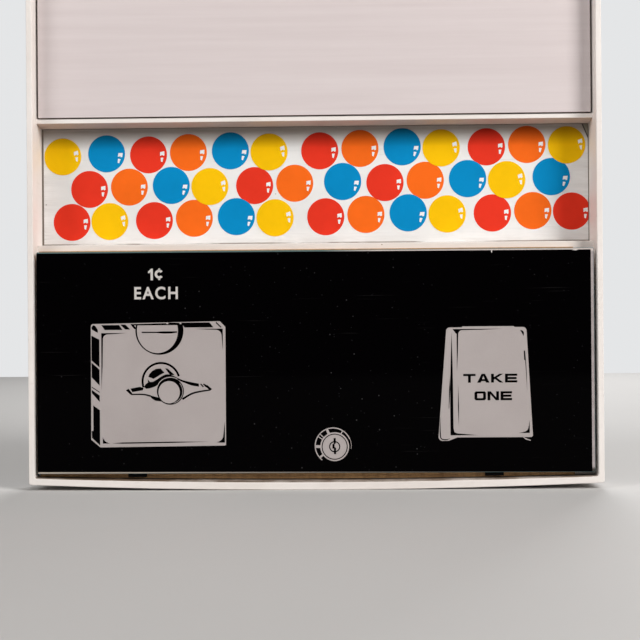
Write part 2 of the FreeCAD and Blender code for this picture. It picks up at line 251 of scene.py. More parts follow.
class Print:
    """Flat printed shapes gathered into one closed mesh, standing in front of a panel."""

    def __init__(self, panel_low, panel_front, lift, place=(0.0, 0.0)):
        self.mesh = bmesh.new()
        self.base = panel_low.z
        self.back = panel_front
        self.front = panel_front - lift * MM
        self.place = place

    def add(self, outline):
        """One closed outline in millimetres, given round in either direction."""
        rings = []
        for y in (self.front, self.back):
            ring = []
            for x, z in moved(outline, self.place):
                ring.append(self.mesh.verts.new((x * MM, y, self.base + z * MM)))
            rings.append(ring)
        faces = [self.mesh.faces.new(rings[0]), self.mesh.faces.new(rings[1][::-1])]
        for face in faces:
            face.normal_update()
        for i in range(len(outline)):
            pair = (rings[0][i - 1], rings[0][i], rings[1][i], rings[1][i - 1])
            self.mesh.faces.new(pair)
        bmesh.ops.triangulate(self.mesh, faces=faces)

    def band(self, centre, inner, outer, start, end, count=48):
        """A ring or part of one; angles in degrees."""
        full = end - start >= 360
        outer_line = arc_points(centre, outer, outer, start, end, count)
        inner_line = arc_points(centre, inner, inner, start, end, count)
        if not full:
            self.add(outer_line + inner_line[::-1])
            return
        loops = []
        for line, y in ((outer_line, self.front), (inner_line, self.front),
                        (inner_line, self.back), (outer_line, self.back)):
            loop = []
            for x, z in moved(line[:-1], self.place):
                loop.append(self.mesh.verts.new((x * MM, y, self.base + z * MM)))
            loops.append(loop)
        for a, b in zip(loops, loops[1:] + loops[:1]):
            for i in range(count):
                self.mesh.faces.new((a[i - 1], a[i], b[i], b[i - 1]))

    def piece(self, name, look, slot):
        bmesh.ops.recalc_face_normals(self.mesh, faces=self.mesh.faces)
        return make_piece(name, self.mesh, look)


def make_piece(name, mesh, look):
    """A finished object from a bmesh, riding on the object's one fixed body."""
    data = bpy.data.meshes.new(name)
    mesh.to_mesh(data)
    mesh.free()
    data.materials.append(look)
    piece = bpy.data.objects.new(name, data)
    bpy.context.scene.collection.objects.link(piece)
    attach(piece, "root")
    return piece


def block_letter(letter, stem, bar):
    """The parts of one wide capital, in a box one across and one high."""
    side = 1 - stem
    if letter == "T":
        return [[(0, 1), (1, 1), (1, 1 - bar), (0.5 + stem / 2, 1 - bar), (0.5 + stem / 2, 0),
                 (0.5 - stem / 2, 0), (0.5 - stem / 2, 1 - bar), (0, 1 - bar)]]
    if letter == "A":
        return [[(0, 0), (0.36, 1), (0.499, 1), (0.499, 0.76), (0.39, 0.40), (0.61, 0.40), (0.501, 0.76),
                 (0.501, 1), (0.64, 1), (1, 0), (0.72, 0), (0.66, 0.17), (0.34, 0.17), (0.28, 0)]]
    if letter == "K":
        return [[(0, 0), (0, 1), (stem, 1), (stem, 0.62), (0.68, 1), (0.99, 1), (0.47, 0.54), (1, 0),
                 (0.70, 0), (0.31, 0.41), (stem, 0.33), (stem, 0)]]
    if letter == "E":
        middle = 0.5 + bar / 2
        return [[(0, 0), (0, 1), (1, 1), (1, 1 - bar), (stem, 1 - bar), (stem, middle), (0.94, middle),
                 (0.94, middle - bar), (stem, middle - bar), (stem, bar), (1, bar), (1, 0)]]
    if letter == "N":
        return [[(0, 0), (0, 1), (0.28, 1), (side, 0.32), (side, 1), (1, 1), (1, 0), (0.72, 0),
                 (stem, 0.68), (stem, 0)]]
    left = [(0.5, 1), (0.12, 1), (0, 0.86), (0, 0.14), (0.12, 0), (0.5, 0), (0.5, bar), (stem, bar),
            (stem, 1 - bar), (0.5, 1 - bar)]
    return [left, [(1 - x, z) for x, z in left]]


def block_word(name, word, place, width, height, gap, look):
    """Heavy wide capitals, centred on a place on the lower glass."""
    letters = Print(LOWER_LOW, LOWER_LOW.y, DETAIL_LAYER, place)
    across = (width - gap * (len(word) - 1)) / len(word)
    for i, letter in enumerate(word):
        left = -width / 2 + i * (across + gap)
        for outline in block_letter(letter, 2.0 / across, 1.55 / height):
            letters.add([(left + x * across, (z - 0.5) * height) for x, z in outline])
    letters.piece(name, look, "dark_glass")


def lettering(name, words, place, width, height, boldness, lift, look):
    """Plain block letters fitted to a width and height, centred on a place on the lower glass."""
    curve = bpy.data.curves.new(name, "FONT")
    curve.body = words
    curve.extrude = 0.5
    curve.offset = boldness
    curve.resolution_u = 6
    curve.space_character = 1.22
    source = bpy.data.objects.new(name + "_source", curve)
    bpy.context.scene.collection.objects.link(source)
    bpy.context.view_layer.update()
    graph = bpy.context.evaluated_depsgraph_get()
    flat = bpy.data.meshes.new_from_object(source.evaluated_get(graph))
    mesh = bmesh.new()
    mesh.from_mesh(flat)
    bpy.data.objects.remove(source)
    bpy.data.meshes.remove(flat)
    bmesh.ops.remove_doubles(mesh, verts=mesh.verts, dist=1e-5)
    xs = [v.co.x for v in mesh.verts]
    ys = [v.co.y for v in mesh.verts]
    zs = [v.co.z for v in mesh.verts]
    front = LOWER_LOW.y - lift * MM
    for v in mesh.verts:
        across = (v.co.x - min(xs)) / (max(xs) - min(xs)) - 0.5
        up = (v.co.y - min(ys)) / (max(ys) - min(ys)) - 0.5
        out = (v.co.z - min(zs)) / (max(zs) - min(zs))
        v.co.x = (place[0] + across * width) * MM
        v.co.z = LOWER_LOW.z + (place[1] + up * height) * MM
        v.co.y = LOWER_LOW.y + out * (front - LOWER_LOW.y)
    bmesh.ops.recalc_face_normals(mesh, faces=mesh.faces)
    return make_piece(name, mesh, look)


# ---------------------------------------------------------------- material helpers

class Look:
    """A node material under construction, with one Principled shader."""

    def __init__(self, name, colour, roughness):
        self.material = bpy.data.materials.new(name)
        self.material.use_nodes = True
        self.nodes = self.material.node_tree.nodes
        self.links = self.material.node_tree.links
        self.shader = self.nodes["Principled BSDF"]
        self.set("Base Color", (*colour, 1.0))
        self.set("Roughness", roughness)
        self.place = self.nodes.new("ShaderNodeTexCoord").outputs["Object"]

    def set(self, socket, value):
        self.shader.inputs[socket].default_value = value
        return self

    def feed(self, socket, output):
        self.links.new(output, self.shader.inputs[socket])
        return self

    def scaled(self, scale):
        """The position in metres, stretched per axis."""
        mapping = self.nodes.new("ShaderNodeMapping")
        mapping.inputs["Scale"].default_value = scale
        self.links.new(self.place, mapping.inputs["Vector"])
        return mapping.outputs["Vector"]

    def noise(self, scale, detail=4.0, roughness=0.6, stretch=(1, 1, 1)):
        node = self.nodes.new("ShaderNodeTexNoise")
        node.inputs["Scale"].default_value = scale
        node.inputs["Detail"].default_value = detail
        node.inputs["Roughness"].default_value = roughness
        self.links.new(self.scaled(stretch), node.inputs["Vector"])
        return node.outputs["Fac"]

    def specks(self, spacing, radius, share, seed_shift=0.0):
        """1 in small round specks: spacing and radius in metres, share of the cells that have one."""
        mapping = self.nodes.new("ShaderNodeMapping")
        mapping.inputs["Location"].default_value = (seed_shift, seed_shift, seed_shift)
        self.links.new(self.place, mapping.inputs["Vector"])
        cell = self.nodes.new("ShaderNodeTexVoronoi")
        cell.inputs["Scale"].default_value = 1 / spacing
        self.links.new(mapping.outputs["Vector"], cell.inputs["Vector"])
        near = self.ramp(cell.outputs["Distance"], radius / spacing, radius / spacing * 0.6)
        parts = self.nodes.new("ShaderNodeSeparateColor")
        self.links.new(cell.outputs["Color"], parts.inputs["Color"])
        chosen = self.maths("LESS_THAN", parts.outputs[0], share)
        return self.maths("MULTIPLY", near, chosen)

    def ramp(self, value, low, high):
        """0 at low, 1 at high, clamped; low may be above high."""
        node = self.nodes.new("ShaderNodeMapRange")
        node.inputs["From Min"].default_value = low
        node.inputs["From Max"].default_value = high
        self.links.new(value, node.inputs["Value"])
        return node.outputs["Result"]

    def maths(self, operation, first, second):
        node = self.nodes.new("ShaderNodeMath")
        node.operation = operation
        for socket, value in zip(node.inputs, (first, second)):
            if isinstance(value, (int, float)):
                socket.default_value = value
            else:
                self.links.new(value, socket)
        return node.outputs["Value"]

    def mix(self, amount, first, second):
        """Colours mixed by amount; each is a colour or an output."""
        node = self.nodes.new("ShaderNodeMix")
        node.data_type = "RGBA"
        self.links.new(amount, node.inputs[0])
        for socket, value in ((node.inputs[6], first), (node.inputs[7], second)):
            if isinstance(value, tuple):
                socket.default_value = (*value, 1.0)
            else:
                self.links.new(value, socket)
        return node.outputs[2]

    def bump(self, height, distance, strength=1.0):
        node = self.nodes.new("ShaderNodeBump")
        node.inputs["Distance"].default_value = distance
        node.inputs["Strength"].default_value = strength
        self.links.new(height, node.inputs["Height"])
        self.feed("Normal", node.outputs["Normal"])
        return self

    def axis(self, name):
        """One coordinate of the position, in metres."""
        node = self.nodes.new("ShaderNodeSeparateXYZ")
        self.links.new(self.place, node.inputs["Vector"])
        return node.outputs[name]

    def facing(self, axis, sign):
        """1 on faces that look along one axis, towards its plus or minus end."""
        coordinates = self.nodes.new("ShaderNodeTexCoord")
        parts = self.nodes.new("ShaderNodeSeparateXYZ")
        self.links.new(coordinates.outputs["Normal"], parts.inputs["Vector"])
        return self.maths("GREATER_THAN", self.maths("MULTIPLY", parts.outputs[axis], sign), 0.6)

    def both(self, *masks):
        """The product of several masks."""
        result = masks[0]
        for mask in masks[1:]:
            result = self.maths("MULTIPLY", result, mask)
        return result

    def facing_depth(self):
        """1 on faces that look along the depth axis, 0 on edges."""
        coordinates = self.nodes.new("ShaderNodeTexCoord")
        parts = self.nodes.new("ShaderNodeSeparateXYZ")
        self.links.new(coordinates.outputs["Normal"], parts.inputs["Vector"])
        size = self.maths("ABSOLUTE", parts.outputs["Y"], 0.0)
        return self.maths("GREATER_THAN", size, 0.9)

    def with_top_shadow(self, colour):
        """The colour, darkened in a soft band along the card's top edge as a painted shadow of the divider
        above.
        """
        band = self.ramp(self.axis("Z"), CARD_HIGH.z - TOP_SHADOW_REACH * MM, CARD_HIGH.z - 0.002)
        shade = self.nodes.new("ShaderNodeMix")
        shade.data_type = "RGBA"
        shade.blend_type = "MULTIPLY"
        self.links.new(self.maths("MULTIPLY", band, TOP_SHADOW_AMOUNT), shade.inputs[0])
        self.links.new(colour, shade.inputs[6])
        shade.inputs[7].default_value = (0.26, 0.22, 0.19, 1.0)
        return shade.outputs[2]

    def crevice(self, distance):
        """1 deep in corners, 0 on open faces."""
        node = self.nodes.new("ShaderNodeAmbientOcclusion")
        node.samples = 8
        node.inputs["Distance"].default_value = distance
        return self.ramp(node.outputs["AO"], 0.75, 0.25)


# ---------------------------------------------------------------- materials

def aged_plastic():
    """Yellowed white moulded plastic with mottling and handling marks, plus soiling and painted shade in
    corners and on the low ledge, and painted shade under the divider and beside the card.
    """
    look = Look("aged_plastic", (0.85, 0.79, 0.75), 0.42)
    mottle = look.ramp(look.noise(14, 5), 0.35, 0.68)
    colour = look.mix(mottle, (0.87, 0.815, 0.775), (0.80, 0.735, 0.69))
    streak = look.ramp(look.noise(30, 6, 0.7, (1, 1, 9)), 0.56, 0.74)
    colour = look.mix(look.maths("MULTIPLY", streak, 0.35), colour, (0.66, 0.58, 0.52))
    colour = look.mix(look.specks(0.012, 0.0005, 0.16), colour, (0.30, 0.22, 0.16))
    # Darker in its corners: soiling mixed with painted shade, laid where ambient occlusion finds corners.
    grime_and_shade = look.maths("MULTIPLY", look.crevice(0.002), look.ramp(look.noise(90, 6), 0.35, 0.62))
    colour = look.mix(look.maths("MULTIPLY", grime_and_shade, 0.5), colour, (0.26, 0.20, 0.15))
    up = look.axis("Z")
    # Up-facing ledge below the lower glass: brown soiling mixed with painted shade, darker towards the left.
    ledge_below_glass = look.both(look.facing("Z", 1.0), look.ramp(up, LOWER_LOW.z + 0.001, LOWER_LOW.z))
    ledge_soil_and_shade = look.mix(look.ramp(look.axis("X"), -0.20, 0.20), (0.12, 0.075, 0.045), (0.28, 0.22, 0.175))
    colour = look.mix(look.both(ledge_below_glass, look.ramp(look.noise(45, 5), 0.0, 0.55)), colour, ledge_soil_and_shade)
    # Painted shade on the underside of the divider just above the card.
    ceiling_shade = look.both(look.facing("Z", -1.0), look.ramp(up, CARD_HIGH.z - 0.002, CARD_HIGH.z),
                        look.ramp(up, CARD_HIGH.z + 0.004, CARD_HIGH.z + 0.003))
    colour = look.mix(look.maths("MULTIPLY", ceiling_shade, 0.7), colour, (0.46, 0.32, 0.25))
    # Painted shade on the frame faces seen in the narrow gaps beside the card.
    gap = look.both(look.facing("Y", -1.0), look.ramp(look.axis("Y"), CARD_LOW.y, CARD_LOW.y + 0.0004))
    colour = look.mix(gap, colour, (0.20, 0.165, 0.13))
    look.feed("Base Color", colour)
    look.feed("Roughness", look.ramp(look.noise(55, 4), -0.9, 1.9))
    look.bump(look.noise(420, 3), 0.00005)
    return look.material


def coated_glass():
    """Pale glass with a silver-grey coat on its back, and dark brown edge faces that carry the painted shade
    of the gap around it.
    """
    look = Look("coated_glass", (0.66, 0.59, 0.585), 0.45)
    look.set("Coat Weight", 0.3).set("Coat Roughness", 0.04).set("Specular IOR Level", 0.1)
    streak = look.ramp(look.noise(10, 7, 0.65, (0.5, 1, 16)), 0.36, 0.66)
    colour = look.mix(streak, (0.700, 0.625, 0.620), (0.660, 0.582, 0.578))
    dust = look.specks(0.015, 0.0003, 0.3)
    colour = look.mix(look.maths("MULTIPLY", dust, 0.5), colour, (0.40, 0.35, 0.34))
    # Edge faces painted dark brown: painted shade of the gap around the glass.
    colour = look.mix(look.facing_depth(), (0.19, 0.145, 0.125), colour)
    look.feed("Base Color", colour)
    look.bump(look.noise(7, 2, 0.5, (1, 1, 3)), 0.00008)
    return look.material


def bare_glass():
    """The unprinted margins and green edges of the lower glass: clear at the upper left."""
    look = Look("bare_glass", (0.34, 0.30, 0.27), 0.25)
    look.set("Coat Weight", 0.4).set("Coat Roughness", 0.03).set("Specular IOR Level", 0.2)
    cloud = look.ramp(look.noise(26, 4, 0.6, (1, 1, 4)), 0.35, 0.65)
    side = look.mix(cloud, (0.42, 0.37, 0.37), (0.34, 0.295, 0.29))
    across = look.axis("X")
    up = look.axis("Z")
    top = look.mix(look.ramp(across, 0.005, 0.045), (0.100, 0.150, 0.145), (0.58, 0.51, 0.48))
    foot = look.mix(look.ramp(across, -0.19, 0.17), (0.42, 0.36, 0.31), (0.045, 0.036, 0.030))
    colour = look.mix(look.ramp(up, LOWER_LOW.z + 0.004, LOWER_LOW.z + 0.002), side, foot)
    colour = look.mix(look.ramp(up, LOWER_HIGH.z - 0.003, LOWER_HIGH.z - 0.002), colour, top)
    colour = look.mix(look.facing_depth(), (0.055, 0.13, 0.14), colour)
    look.feed("Base Color", colour)
    return look.material


def black_ink():
    """Gloss black under glass, with dust specks and hairline scratches."""
    look = Look("black_ink", (0.0008, 0.0006, 0.0008), 0.30)
    look.set("Specular IOR Level", 0.0).set("Coat Weight", 0.03).set("Coat Roughness", 0.05)
    patch = look.ramp(look.noise(16, 3), 0.42, 0.62)
    dust = look.both(look.specks(0.0055, 0.00055, 0.40), patch)
    colour = look.mix(look.maths("MULTIPLY", dust, 0.45), (0.0008, 0.0006, 0.0008), (0.10, 0.097, 0.10))
    fine = look.specks(0.0030, 0.00030, 0.25, 3.7)
    colour = look.mix(look.maths("MULTIPLY", fine, 0.40), colour, (0.07, 0.07, 0.075))
    scratch = look.ramp(look.noise(20, 3, 0.5, (0.7, 1, 42)), 0.70, 0.76)
    colour = look.mix(look.maths("MULTIPLY", scratch, 0.05), colour, (0.15, 0.14, 0.14))
    look.feed("Base Color", colour)
    return look.material


def silver_ink(name, colour, shade):
    """Matt silver print with a fine metallic grain."""
    look = Look(name, colour, 0.5)
    look.set("Specular IOR Level", 0.10).set("Coat Weight", 0.08).set("Coat Roughness", 0.05)
    cloud = look.ramp(look.noise(24, 5, 0.6), 0.34, 0.68)
    mixed = look.mix(cloud, colour, shade)
    grain = look.ramp(look.noise(1500, 2, 0.5), 0.30, 0.75)
    light = tuple(min(1.0, c * 1.07) for c in colour)
    mixed = look.mix(look.maths("MULTIPLY", grain, 0.4), mixed, light)
    look.feed("Base Color", mixed)
    return look.material


def card_paper():
    """White coated card, scuffed along its length and greyed at its edges by dust and painted shade, with
    painted shade at its foot, on its bent corner and along its top.
    """
    look = Look("card_paper", (0.86, 0.845, 0.825), 0.55)
    cloud = look.ramp(look.noise(11, 5, 0.65, (1, 1, 1.6)), 0.40, 0.72)
    colour = look.mix(cloud, (0.845, 0.835, 0.82), (0.775, 0.765, 0.75))
    scuff = look.ramp(look.noise(16, 6, 0.7, (0.6, 1, 26)), 0.60, 0.70)
    colour = look.mix(look.maths("MULTIPLY", scuff, 0.35), colour, (0.60, 0.59, 0.58))
    # Greyer near all four edges: dust mixed with painted shade from the frame walls around the card.
    top = look.ramp(look.axis("Z"), CARD_HIGH.z - 0.010, CARD_HIGH.z)
    foot = look.ramp(look.axis("Z"), CARD_LOW.z + 0.009, CARD_LOW.z)
    left = look.ramp(look.axis("X"), CARD_LOW.x + 0.016, CARD_LOW.x)
    right = look.ramp(look.axis("X"), CARD_HIGH.x - 0.014, CARD_HIGH.x)
    edge = look.maths("MAXIMUM", look.maths("MAXIMUM", top, foot), look.maths("MAXIMUM", left, right))
    grime_and_shade = look.maths("MULTIPLY", edge, look.ramp(look.noise(45, 6, 0.7, (0.5, 1, 5)), 0.42, 0.68))
    colour = look.mix(look.maths("MULTIPLY", grime_and_shade, 0.4), colour, (0.42, 0.39, 0.36))
    # Painted shade line along the card's foot, where it meets the divider below.
    foot_shade_line = look.both(look.ramp(look.axis("Z"), CARD_LOW.z + 0.0010, CARD_LOW.z + 0.0006),
                          look.ramp(look.noise(24, 3), 0.36, 0.50))
    colour = look.mix(look.maths("MULTIPLY", foot_shade_line, 0.75), colour, (0.20, 0.15, 0.11))
    specks = look.specks(0.014, 0.00055, 0.16)
    colour = look.mix(look.maths("MULTIPLY", specks, 0.75), colour, (0.13, 0.10, 0.08))
    # Bent corner: painted shade on the bent part and a dark painted shade line along the fold.
    slope = look.maths("MULTIPLY", look.axis("Z"), CREASE_SLOPE)
    beyond = look.maths("ADD", look.axis("X"), slope)
    start = CARD_HIGH.x - CREASE_WIDTH * MM + CARD_HIGH.z * CREASE_SLOPE
    colour = look.mix(look.ramp(beyond, start, start + 0.0004), colour, (0.60, 0.61, 0.52))
    line = look.both(look.ramp(beyond, start - 0.0004, start),
                     look.ramp(beyond, start + 0.0010, start + 0.0005))
    colour = look.mix(line, colour, (0.07, 0.05, 0.04))
    # Painted shadow of the divider along the card's top edge.
    look.feed("Base Color", look.with_top_shadow(colour))
    look.bump(look.noise(900, 3), 0.00002)
    return look.material


def ball_ink(letter):
    """One flat process ink, with a slight unevenness and a few pinholes."""
    colour = INK_COLOURS[letter]
    look = Look("ink_" + INK_NAMES[letter], colour, 0.5)
    look.set("Specular IOR Level", 0.05)
    darker = tuple(c * 0.90 for c in colour)
    cloud = look.ramp(look.noise(30, 4, 0.6), 0.38, 0.70)
    mixed = look.mix(cloud, colour, darker)
    pinholes = look.specks(0.009, 0.00035, 0.12, 1.3)
    mixed = look.mix(look.maths("MULTIPLY", pinholes, 0.6), mixed, tuple(c * 0.35 for c in colour))
    # Painted shadow of the divider on the gumballs near the card's top edge.
    look.feed("Base Color", look.with_top_shadow(mixed))
    return look.material


def white_ink():
    """The white glints on the gumballs."""
    look = Look("white_ink", (0.86, 0.86, 0.85), 0.45)
    look.feed("Base Color", look.mix(look.noise(60, 3), (0.90, 0.90, 0.89), (0.82, 0.82, 0.81)))
    return look.material


def hardboard(name, tone):
    """Brown pressed fibreboard: smooth, with short fibres and darker flecks."""
    look = Look(name, (0.20 * tone, 0.115 * tone, 0.055 * tone), 0.62)
    look.set("Specular IOR Level", 0.2)
    fibre = look.ramp(look.noise(260, 6, 0.75, (1, 1, 0.35)), 0.30, 0.70)
    dark = (0.155 * tone, 0.086 * tone, 0.037 * tone)
    colour = look.mix(fibre, dark, (0.27 * tone, 0.160 * tone, 0.074 * tone))
    cloud = look.ramp(look.noise(9, 4), 0.42, 0.70)
    colour = look.mix(look.maths("MULTIPLY", cloud, 0.4), colour, (0.13 * tone, 0.070 * tone, 0.034 * tone))
    flecks = look.specks(0.006, 0.0006, 0.2)
    colour = look.mix(look.maths("MULTIPLY", flecks, 0.6), colour, (0.07 * tone, 0.035 * tone, 0.018 * tone))
    look.feed("Base Color", colour)
    look.bump(look.noise(700, 4, 0.7), 0.00006)
    return look.material


def foam():
    """Black closed-cell foam tape."""
    look = Look("foam", (0.012, 0.011, 0.011), 0.9)
    look.set("Specular IOR Level", 0.05)
    cells = look.ramp(look.noise(1100, 2, 0.5), 0.35, 0.65)
    look.feed("Base Color", look.mix(cells, (0.004, 0.004, 0.004), (0.010, 0.009, 0.009)))
    look.bump(look.noise(1100, 2, 0.5), 0.0001)
    return look.material


def zinc_steel():
    """Zinc-plated steel with a cloudy bloom and a few rust freckles."""
    look = Look("zinc_steel", (0.62, 0.61, 0.59), 0.34)
    look.set("Metallic", 1.0)
    bloom = look.ramp(look.noise(180, 5, 0.65), 0.34, 0.68)
    colour = look.mix(bloom, (0.66, 0.655, 0.63), (0.50, 0.49, 0.46))
    rust = look.maths("MULTIPLY", look.specks(0.0035, 0.0005, 0.12), 0.7)
    look.feed("Base Color", look.mix(rust, colour, (0.20, 0.09, 0.04)))
    look.feed("Roughness", look.ramp(look.noise(240, 4), -0.6, 2.2))
    look.bump(look.noise(900, 3, 0.6, (1, 1, 0.2)), 0.00002)
    return look.material


def bumper_rubber():
    """Soft dark rubber, dulled by dust."""
    look = Look("bumper_rubber", (0.035, 0.030, 0.027), 0.72)
    dust = look.ramp(look.noise(160, 5), 0.45, 0.75)
    look.feed("Base Color", look.mix(dust, (0.030, 0.026, 0.023), (0.090, 0.082, 0.075)))
    look.bump(look.noise(800, 3), 0.00005)
    return look.material


def pale_floor():
    """A plain pale studio floor."""
    look = Look("pale_floor", (0.51, 0.50, 0.49), 0.8)
    look.feed("Base Color", look.mix(look.noise(5, 3), (0.52, 0.51, 0.50), (0.50, 0.49, 0.48)))
    return look.material


# ---------------------------------------------------------------- printed art

def black_field(look, bare):
    """The black print that covers the lower glass up to its bare margins."""
    field = Print(LOWER_LOW, LOWER_LOW.y, FIELD_LAYER)
    left = LOWER_LOW.x / MM
    right = LOWER_HIGH.x / MM - FIELD_RIGHT_MARGIN
    top = (LOWER_HIGH.z - LOWER_LOW.z) / MM
    field.add([
        (left, FIELD_FOOT_LEFT), (0.0, FIELD_FOOT_MIDDLE), (right, FIELD_FOOT_RIGHT),
        (right, top - FIELD_TOP_RIGHT), (left, top - FIELD_TOP_LEFT),
    ])
    field.piece("black_field", look, "dark_glass")
    worn = Print(LOWER_LOW, LOWER_LOW.y, SILVER_LAYER)
    worn.add([(125.0, top - 1.5), (126.0, top - 1.2), (125.8, top - 3.0), (125.3, top - 3.0)])
    worn.add([(181.5, top - 1.6), (184.0, top - 1.1), (186.5, top - 1.4), (184.5, top - 1.9)])
    worn.piece("field_chips", bare, "dark_glass")


def slanted(x0, x1, low0, high0, low1, high1):
    """A block between two upright lines, each with its own low and high end."""
    return [(x0, low0), (x1, low1), (x1, high1), (x0, high0)]


def coin_plate(silver, black):
    """The coin mechanism, drawn as a block seen from a little to its left and above."""
    body = Print(LOWER_LOW, LOWER_LOW.y, SILVER_LAYER, COIN_PLATE_PLACE)
    body.add(rounded_outline([
        (-6.5, 5.4, 0.5), (0.0, 0.0, 0.5), (89.4, 0.9, 1.0),
        (89.5, 84.9, 1.2), (85.6, 89.0, 1.2), (-6.3, 87.6, 1.8),
    ]))
    body.piece("coin_plate_print", silver, "dark_glass")

    lines = Print(LOWER_LOW, LOWER_LOW.y, DETAIL_LAYER, COIN_PLATE_PLACE)
    for low0, high0, low1, high1 in (
        (61.7, 79.4, 56.8, 76.5), (49.8, 60.2, 43.9, 55.2),
        (42.5, 43.2, 38.8, 39.5), (38.6, 40.9, 32.3, 36.8),
    ):
        lines.add(slanted(-5.9, -0.3, low0, high0, low1, high1))
    lines.add([(-4.9, 29.8), (-0.2, 26.4), (-0.2, 1.3), (-5.9, 6.8), (-6.2, 11.6), (-4.9, 11.8)])
    lines.add([
        (-5.9, 85.0), (-4.8, 86.7), (-3.2, 86.4), (-1.3, 83.4), (-1.3, 81.4), (-3.0, 82.2), (-5.4, 83.6),
    ])
    for bottom, width, lean, low in (
        (3.6, 12.7, 2.4, 83.3), (18.2, 3.6, 3.4, 83.6), (24.6, 1.9, 2.7, 83.9), (60.6, 20.4, 2.8, 84.7),
    ):
        high = low + 3.5
        right = bottom + width
        lines.add([(bottom, low), (right, low), (right - lean, high), (bottom - lean, high)])
    lines.add(stroke_outline([(82.8, 88.2), (86.5, 84.6)], [0.8, 0.8]))
    lines.add(stroke_outline([(22.4, 86.9), (47.6, 87.2)], [0.9, 1.4]))
    lines.add(stroke_outline([(49.0, 87.6), (57.0, 87.5)], [1.4, 1.2]))

    entry = (42.6, 82.7)
    lines.add(arc_points(entry, 17.1, 17.2, 165, 375, 48))
    hub = (50.1, 39.6)
    lines.band((43.5, 46.5), 12.4, 13.9, 16, 198)
    lines.add([
        (34.5, 49.9), (35.3, 51.9), (37.1, 53.9), (39.9, 55.5), (43.2, 55.8), (46.0, 52.8), (43.3, 51.5),
        (40.3, 49.6), (38.0, 48.4), (36.6, 49.2), (35.4, 49.4),
    ])
    lines.add([(34.0, 48.4), (34.9, 47.0), (36.6, 45.6), (34.3, 45.3)])
    lines.add([(46.4, 55.9), (48.3, 55.6), (53.2, 51.1), (49.9, 51.1)])
    band_top = smooth_line([
        (31.4, 42.6), (32.6, 44.7), (34.9, 46.1), (37.6, 46.4), (40.3, 47.8), (44.0, 50.2), (47.5, 51.6),
        (51.0, 51.0), (55.1, 49.1), (58.7, 47.5), (64.6, 46.0), (70.4, 44.9),
    ])
    band_foot = smooth_line([
        (70.4, 42.7), (65.3, 43.6), (60.5, 45.4), (56.7, 47.0), (53.0, 49.2), (49.5, 49.8), (46.8, 48.8),
        (44.0, 46.5), (40.2, 43.5), (36.5, 42.0), (33.0, 41.4),
    ])
    lines.add(band_top + band_foot)
    lines.add([(18.4, 40.4), (20.4, 41.5), (23.0, 38.2), (21.6, 37.4)])
    lines.add([(21.6, 41.6), (28.5, 42.9), (31.1, 41.9), (30.5, 40.4), (23.0, 39.1)])
    lines.add([(74.2, 44.6), (76.6, 43.6), (79.2, 41.4), (77.6, 40.6), (75.6, 42.2)])
    for x in (71.6, 73.6):
        lines.add(stroke_outline([(x, 44.7), (x + 2.0, 42.5)], [0.9, 0.9]))
    lines.add(stroke_outline(smooth_line([(22.0, 37.5), (30.9, 37.4), (35.8, 36.3)]), [0.9, 1.0, 1.2]))
    lines.add([(35.3, 36.9), (38.4, 36.0), (42.8, 34.8), (43.6, 32.4), (39.4, 32.9), (36.6, 34.7)])
    lines.add(stroke_outline(
        smooth_line([(58.6, 33.9), (65.4, 37.8), (72.5, 39.5), (78.0, 40.3), (79.2, 41.4)]), [1.5, 1.1, 1.0]))
    lines.add(circle_points(hub, 9.6))
    lines.add(corner_accent(1.1, 81.1, 18.0, -41.0, 3.4, 0.9, 1.2))
    lines.add(corner_accent(87.6, 83.7, -20.0, -15.5, 4.2, 0.7, 0.8))
    lines.add(corner_accent(1.7, 2.7, 5.4, 4.8, 3.0))
    lines.add(corner_accent(88.6, 3.0, -6.0, 15.0, 4.4, 0.7, 1.1))
    lines.add(stroke_outline([(8.0, 2.9), (16.0, 3.0), (52.0, 3.4), (77.0, 3.7)], [0, 0.9, 0.9, 0]))
    lines.piece("coin_plate_lines", black, "dark_glass")

    trim = Print(LOWER_LOW, LOWER_LOW.y, TRIM_LAYER, COIN_PLATE_PLACE)
    trim.add(arc_points((41.2, 82.6), 14.6, 15.9, 166, 374, 48))
    trim.add(arc_points((49.2, 38.9), 7.6, 7.9, 0, 360, 64)[:-1])
    trim.band(hub, 8.6, 8.9, -75, 40)
    trim.band(hub, 9.7, 10.2, 60, 150)
    trim.add(stroke_outline([(-5.7, 5.7), (-1.2, 2.0)], [0.5, 0.5]))
    trim.piece("coin_plate_trim", silver, "dark_glass")

    slot = Print(LOWER_LOW, LOWER_LOW.y, TRIM_LAYER + FIELD_LAYER, COIN_PLATE_PLACE)
    slot.add(stroke_outline([(30.0, 81.5), (41.0, 81.4), (45.0, 81.3), (51.0, 81.3), (55.2, 81.6)],
                            [0.9, 0.9, 1.6, 1.5, 0.9]))
    slot.piece("coin_slot_line", black, "dark_glass")


